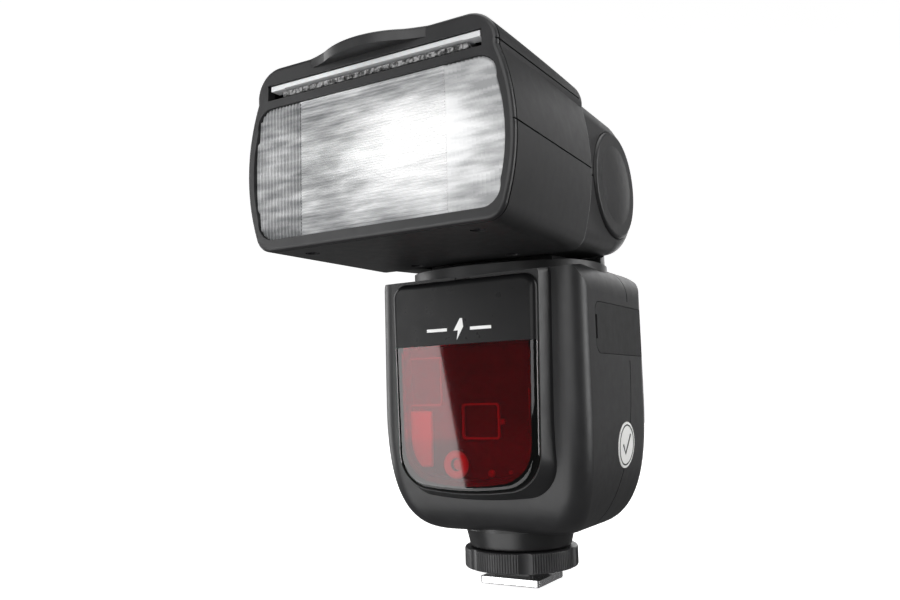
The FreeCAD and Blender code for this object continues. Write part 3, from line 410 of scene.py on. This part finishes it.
def ribbed_side(side, front, back):
    """Side zone of the lens with upright saw-tooth ribs."""
    columns = []
    x = LENS_CENTRE_HALF + 0.12
    start = x
    while x < LENS_REACH:
        columns += [x, x + 0.62 * RIB_PITCH, x + RIB_CREST * RIB_PITCH]
        x += RIB_PITCH
    columns = [c for c in columns if c < LENS_REACH - 0.05] + [LENS_REACH]

    def depth_at(x, z):
        phase = ((abs(x) - start) / RIB_PITCH) % 1.0
        if phase > 0.999:
            phase = 0.0
        fall = (1.0 - phase) / (1.0 - RIB_CREST)
        return front + RIB_DEPTH * (phase / RIB_CREST if phase <= RIB_CREST else fall)

    def span(x):
        low, top = lens_limits(x)
        return [low + (top - low) * k / 8.0 for k in range(9)]

    return grid_block([side * c for c in columns], span, depth_at, back)


def grooved_centre(front, back):
    """Middle zone of the lens with level grooves that widen towards the lower and upper edge."""
    heights = {}
    z = LENS_LOW
    middle = (LENS_LOW + LENS_TOP) / 2
    while z < LENS_TOP - 0.2:
        reach = abs(z - middle) / (LENS_TOP - middle)
        step = GROOVE_STEP + GROOVE_STEP_GAIN * reach
        for share, height in ((0.0, 0.0), (0.7, 1.0), (0.9, 0.4)):
            if z + share * step < LENS_TOP:
                heights[z + share * step] = height
        z += step
    heights[LENS_TOP] = 0.0
    columns = [-LENS_CENTRE_HALF + 2 * LENS_CENTRE_HALF * k / 16.0 for k in range(17)]
    return grid_block(columns, lambda x: list(heights),
                      lambda x, z: front + GROOVE_DEPTH * heights[z], back)


def joined(blocks):
    """One block of points and faces from several."""
    verts, faces = [], []
    for block_verts, block_faces in blocks:
        offset = len(verts)
        verts.extend(block_verts)
        faces.extend(tuple(i + offset for i in face) for face in block_faces)
    return verts, faces


def lens_piece():
    front = NODE_BOX["fresnel_lens"][0][1] / MM
    back = front + LENS_THICKNESS
    zones = [ribbed_side(side, front, back) for side in (-1, 1)] + [grooved_centre(front, back)]
    new_piece("lens_ribs", joined(zones), "head", "lens_face", False, "fresnel_lens")


lens_piece()


# --- behind the red window --------------------------------------------------------------
def lathe(profile, centre, steps=48):
    """Verts and faces of a closed profile of (radius, y) turned about the Y line through centre."""
    verts, faces = [], []
    for k in range(steps):
        a = 2 * math.pi * k / steps
        for radius, y in profile:
            verts.append((centre[0] + radius * math.cos(a), y, centre[1] + radius * math.sin(a)))
    n = len(profile)
    for k in range(steps):
        for i in range(n):
            j = (i + 1) % n
            b = (k + 1) % steps
            faces.append((k * n + i, k * n + j, b * n + j, b * n + i))
    return verts, faces


def rounded_rect(x0, x1, z0, z1, radius, steps=6):
    points = []
    for cx, cz, start in ((x1 - radius, z1 - radius, 0), (x0 + radius, z1 - radius, 90),
                          (x0 + radius, z0 + radius, 180), (x1 - radius, z0 + radius, 270)):
        for k in range(steps + 1):
            a = math.radians(start + 90 * k / steps)
            points.append((cx + radius * math.cos(a), cz + radius * math.sin(a)))
    return points


def tray(outer, inner, y_front, y_back):
    """Frame between two outlines of equal length, between two planes across Y."""
    n = len(outer)
    verts = [(x, y, z) for y in (y_front, y_back) for loop in (outer, inner) for x, z in loop]
    faces = []
    for k in range(n):
        j = (k + 1) % n
        faces += [(k, j, n + j, n + k), (2 * n + k, 3 * n + k, 3 * n + j, 2 * n + j),
                  (k, 2 * n + k, 2 * n + j, j), (n + k, n + j, 3 * n + j, 3 * n + k)]
    return verts, faces


def plate(outline, y_front, y_back):
    """Flat block with a bevelled front edge."""
    bevel = 0.25
    share = 0.93
    cx = sum(x for x, z in outline) / len(outline)
    cz = sum(z for x, z in outline) / len(outline)
    small = [(cx + (x - cx) * share, cz + (z - cz) * share) for x, z in outline]
    n = len(outline)
    verts = [(x, y_front, z) for x, z in small] + [(x, y_front + bevel, z) for x, z in outline]
    verts += [(x, y_back, z) for x, z in outline]
    faces = [tuple(range(n)), tuple(range(3 * n - 1, 2 * n - 1, -1))]
    for k in range(n):
        j = (k + 1) % n
        faces += [(k, n + k, n + j, j), (n + k, 2 * n + k, 2 * n + j, n + j)]
    return verts, faces


def window_frame(name, x0, x1, z0, z1, radius, wall, y_front):
    """Thin raised frame on the board behind the red window."""
    outer = rounded_rect(x0, x1, z0, z1, radius)
    inner = rounded_rect(x0 + wall, x1 - wall, z0 + wall, z1 - wall, radius - 0.2)
    new_piece(name, tray(outer, inner, y_front, BOARD_FACE), "body", "lamp_pink", False)


def window_interior():
    """What shows through the red window: lamp, sensor, receiver and board edges."""
    ring = [(1.75, -28.25), (1.75, -28.45), (2.2, -28.75), (3.1, -28.85), (3.7, -28.6), (3.85, -28.25)]
    new_piece("lamp_ring", lathe(ring, (-4.2, 35.3)), "body", "lamp_white")
    sensor = rounded_rect(-20.0, -12.4, 34.4, 49.8, 0.8)
    new_piece("sensor_block", plate(sensor, -27.6, BOARD_FACE), "body", "lamp_white",
              False)
    window_frame("receiver_frame", -2.6, 8.8, 42.0, 51.6, 1.0, 0.5, -27.3)
    window_frame("board_frame", -19.9, -8.9, 51.2, 64.6, 0.8, 0.4, -27.2)
    for k, (low, high) in enumerate([(37.5, 45.0), (46.5, 55.5)]):
        strip = plate(rounded_rect(17.6, 19.0, low, high, 0.3), -27.4, BOARD_FACE)
        new_piece("edge_strip_%d" % (k + 1), strip, "body", "lamp_pink", False)
    for k, (x, z, r) in enumerate([(9.6, 46.6, 0.8), (5.8, 33.0, 1.0), (11.6, 33.4, 0.5)]):
        dome = [(0.05, -27.5), (0.6 * r, -27.42), (r, -27.1), (r, BOARD_FACE), (0.05, BOARD_FACE)]
        new_piece("status_lamp_%d" % (k + 1), lathe(dome, (x, z), 24), "body", "lamp_pink")


window_interior()


# --- printed marks --------------------------------------------------------------------
INK_LIFT = 0.04             # middle of the ink above the surface, in millimetres
INK_THICKNESS = 0.05
RAY_START = 0.2             # metres from the middle plane, well outside the object


def face_centre(node, axis):
    """Centre of a node seen along X (axis 0) or Y (axis 1), in millimetres."""
    low, high = NODE_BOX[node]
    across = 1 - axis
    return (low[across] + high[across]) / 2 / MM, (low[2] + high[2]) / 2 / MM


def arc(u, v, radius, start, end, count):
    """Points on an arc between two angles in degrees."""
    angles = [math.radians(start + (end - start) * k / count) for k in range(count + 1)]
    return [(u + radius * math.cos(a), v + radius * math.sin(a)) for a in angles]


def disc(u, v, radius, steps=40):
    return arc(u, v, radius, 0, 360, steps)[:-1]


def band(points, width):
    """Outline of a stroke of this width along an open line of points."""
    left, right = [], []
    for i, (u, v) in enumerate(points):
        before = points[max(i - 1, 0)]
        after = points[min(i + 1, len(points) - 1)]
        du, dv = after[0] - before[0], after[1] - before[1]
        size = math.hypot(du, dv)
        nu, nv = -dv / size * width / 2, du / size * width / 2
        left.append((u + nu, v + nv))
        right.append((u - nu, v - nv))
    return left + right[::-1]


def ring_band(u, v, radius, width, steps=48):
    """Quads of a printed circle line."""
    outer = disc(u, v, radius, steps)
    inner = disc(u, v, radius - width, steps)
    return [[outer[k - 1], outer[k], inner[k], inner[k - 1]] for k in range(steps)]


def flat_mesh(outlines):
    """Flat outlines in millimetres as a triangle mesh, cut finely enough to follow a curved face."""
    flat = bmesh.new()
    for outline in outlines:
        flat.faces.new([flat.verts.new((u * MM, v * MM, 0.0)) for u, v in outline])
    bmesh.ops.triangulate(flat, faces=flat.faces)
    long_edges = [edge for edge in flat.edges if edge.calc_length() > 1.5 * MM]
    bmesh.ops.subdivide_edges(flat, edges=long_edges, cuts=2, use_grid_fill=True)
    return flat


def printed(name, outlines, node, body, material, axis=1, side=1):
    """Thin ink: flat outlines projected onto a CAD node along X (axis 0) or Y (axis 1)."""
    tree = BVHTree.FromObject(NODES[node], bpy.context.evaluated_depsgraph_get())
    flat = flat_mesh(outlines)
    inward = Vector((-side, 0, 0)) if axis == 0 else Vector((0, -side, 0))
    for vert in flat.verts:
        u, v = vert.co.x, vert.co.y
        start = Vector((0, u, v)) if axis == 0 else Vector((u, 0, v))
        start -= inward * RAY_START
        hit = tree.ray_cast(start, inward)[0]
        vert.co = (hit if hit is not None else start) - inward * INK_LIFT * MM
    bmesh.ops.triangulate(flat, faces=flat.faces)
    bmesh.ops.recalc_face_normals(flat, faces=flat.faces)
    mesh = bpy.data.meshes.new(name)
    flat.to_mesh(mesh)
    flat.free()
    mesh.materials.append(MATERIALS[material])
    piece = bpy.data.objects.new(name, mesh)
    bpy.context.scene.collection.objects.link(piece)
    thick = piece.modifiers.new("thickness", "SOLIDIFY")
    thick.thickness = INK_THICKNESS * MM
    thick.offset = 0.0
    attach(piece, body)


def bolt(u, v, size):
    """Lightning bolt, the usual mark for flash."""
    shape = [(0.18, 1.0), (-0.52, -0.12), (-0.06, -0.12), (-0.2, -1.0), (0.52, 0.2), (0.05, 0.2),
             (0.42, 1.0)]
    return [(u + a * size, v + b * size) for a, b in shape]


def front_mark():
    """Bolt between two bars on the panel."""
    x, z = -0.6, 71.6
    bars = [[(u - 3.2, z - 0.42), (u + 3.2, z - 0.42), (u + 3.2, z + 0.42), (u - 3.2, z + 0.42)]
            for u in (x - 6.8, x + 6.8)]
    printed("front_symbol", [bolt(x, z, 2.9)] + bars, "front_panel", "body", "white_ink",
            side=-1)


def label_marks():
    """Ring and tick on the round label."""
    y, z = face_centre("round_label", 0)
    ring = ring_band(y, z, 5.75, 0.4)
    tick = band([(y - 2.8, z + 0.2), (y - 0.8, z - 2.4), (y + 2.9, z + 2.9)], 0.75)
    for name, outlines in (("label_ring", ring), ("label_tick", [tick])):
        printed(name, outlines, "round_label", "body", "dark_ink", axis=0)


def rear_print(name, outlines, node, body):
    printed(name, outlines, node, body, "grey_ink")


def side_key_marks():
    """Bolt, three dots, and a dot with radio waves, on the keys beside the dial."""
    x, z = face_centre("test_button", 1)
    rear_print("test_symbol", [bolt(x, z, 1.7)], "test_button", "test_key")
    x, z = face_centre("mode_button", 1)
    dots = [disc(x + k, z, 0.5, 20) for k in (-1.6, 0.0, 1.6)]
    rear_print("mode_symbol", dots, "mode_button", "mode_key")
    x, z = face_centre("wireless_button", 1)
    waves = [band(arc(x, z, radius, base - 42, base + 42, 8), 0.4)
             for radius in (1.0, 1.9) for base in (0, 180)]
    rear_print("wireless_symbol", waves + [disc(x, z, 0.38, 16)], "wireless_button", "wireless_key")


def dial_marks():
    """Ring on the set button and four pointers on the dial."""
    x, z = face_centre("set_button", 1)
    rear_print("set_symbol", ring_band(x, z, 2.1, 0.4), "set_button", "set_key")
    pointers = []
    for k in range(4):
        a = math.pi / 2 * k
        tip = [(9.9, 0.0), (8.3, 0.95), (8.3, -0.95)]
        pointers.append([(x + r * math.cos(a) - t * math.sin(a), z + r * math.sin(a) + t * math.cos(a))
                         for r, t in tip])
    rear_print("dial_symbols", pointers, "select_dial", "dial")


def menu_marks():
    """Dash on each menu button."""
    for k in range(1, 5):
        node = "menu_button_%d" % k
        x, z = face_centre(node, 1)
        dash = band([(x - 1.1, z), (x + 1.1, z)], 0.45)
        rear_print("menu_symbol_%d" % k, [dash], node, "menu_key_%d" % k)


def switch_marks():
    """Line for on and circle for off beside the power switch."""
    x = 14.6
    on_mark = band([(x, 34.2), (x, 33.0)], 0.4)
    off_mark = ring_band(x, 29.6, 0.75, 0.3, 20)
    rear_print("switch_marks", [on_mark] + off_mark, "control_panel", "body")


front_mark()
label_marks()
side_key_marks()
dial_marks()
menu_marks()
switch_marks()


# --- studio ---------------------------------------------------------------------------
def softbox(name, place, target, size, radiance, roll=0.0):
    """Rectangular area light of this width, height and surface radiance, aimed at a target."""
    data = bpy.data.lights.new(name, "AREA")
    data.shape = "RECTANGLE"
    data.size = size[0]
    data.size_y = size[1]
    data.energy = radiance * math.pi * size[0] * size[1]
    light = bpy.data.objects.new(name, data)
    bpy.context.scene.collection.objects.link(light)
    light.location = place
    aim = (Vector(target) - Vector(place)).to_track_quat("-Z", "Y").to_matrix()
    light.rotation_euler = (aim @ Matrix.Rotation(roll, 3, "Z")).to_euler()
    return light


def bowl_mesh():
    """Round floor that sweeps up into a wall, so every view has the same plain background."""
    floor_z = CAD_BOUNDS[0][2] - 0.0002
    flat, bend, rise = 1.6, 0.9, 3.0
    bend_steps = 12
    profile = [(0.02, 0.0), (0.4, 0.0), (flat, 0.0)]
    for k in range(1, bend_steps + 1):
        a = math.pi / 2 * k / bend_steps
        profile.append((flat + bend * math.sin(a), bend * (1 - math.cos(a))))
    profile.append((flat + bend, rise))
    steps = 96
    verts = [(0.0, 0.0, floor_z)]
    for r, z in profile:
        for k in range(steps):
            a = 2 * math.pi * k / steps
            verts.append((r * math.cos(a), r * math.sin(a), floor_z + z))
    faces = [(0, 1 + k, 1 + (k + 1) % steps) for k in range(steps)]
    for i in range(len(profile) - 1):
        for k in range(steps):
            a = 1 + i * steps + k
            b = 1 + i * steps + (k + 1) % steps
            faces.append((a, a + steps, b + steps, b))
    mesh = bpy.data.meshes.new("studio_floor")
    mesh.from_pydata(verts, [], faces)
    for polygon in mesh.polygons:
        polygon.use_smooth = True
    return mesh


def studio():
    mesh = bowl_mesh()
    floor = bpy.data.objects.new("studio_floor", mesh)
    bpy.context.scene.collection.objects.link(floor)
    pale = Shader("studio_pale")
    pale.set(Roughness=0.9, Emission_Color=(1, 1, 1, 1), Emission_Strength=0.80,
             Specular_IOR_Level=0.0)
    pale.link(pale.ramp(pale.noise(900.0), [(NOISE_LOW, grey(0.80)), (NOISE_HIGH, grey(0.82))]),
              pale.bsdf.inputs["Base Color"])
    mesh.materials.append(MATERIALS["studio_pale"])
    floor.visible_glossy = False
    floor.visible_diffuse = False
    floor.visible_shadow = False
    world = bpy.data.worlds.new("studio_world")
    bpy.context.scene.world = world
    world.use_nodes = True
    world.node_tree.nodes["Background"].inputs["Color"].default_value = (1, 1, 1, 1)
    world.node_tree.nodes["Background"].inputs["Strength"].default_value = 0.12
    softbox("front_fill", (0.36, -1.10, 0.52), (0.0, 0.0, 0.10), (1.2, 1.1), 2.6)
    softbox("window_strip", (-0.611, -0.80, 0.12), (-0.611, 0.0, 0.12), (0.26, 0.75), 5.0,
            roll=math.radians(10.4))
    softbox("rim_right", (0.95, 0.45, 0.30), (0.0, 0.0, 0.08), (0.5, 0.9), 4.8)
    softbox("back", (-0.15, 1.25, 0.30), (0.0, 0.0, 0.09), (0.75, 0.9), 1.7)
    softbox("rim_left", (-1.0, 0.05, 0.25), (0.0, 0.0, 0.08), (0.5, 0.9), 3.2)
    softbox("bounce", (-0.25, -0.70, -0.40), (0.0, -0.03, 0.08), (1.0, 0.6), 2.4)
    softbox("top", (0.1, 0.1, 1.3), (0, 0, 0.1), (1.2, 1.2), 2.5)


studio()


def camera():
    """Close, slightly low three-quarter view from the front right."""
    data = bpy.data.cameras.new("camera")
    data.sensor_width = 36.0
    data.lens = 34.40
    data.clip_start = 0.01
    view = bpy.data.objects.new("camera", data)
    bpy.context.scene.collection.objects.link(view)
    yaw, pitch, roll = (math.radians(a) for a in (30.8, 6.49, -1.55))
    turn = Matrix.Rotation(yaw, 3, "Z") @ Matrix.Rotation(math.pi / 2 + pitch, 3, "X")
    turn = turn @ Matrix.Rotation(roll, 3, "Z")
    view.matrix_world = Matrix.Translation((0.115944, -0.231410, 0.05324)) @ turn.to_4x4()
    bpy.context.scene.camera = view


camera()
bpy.context.scene.view_settings.view_transform = "Standard"
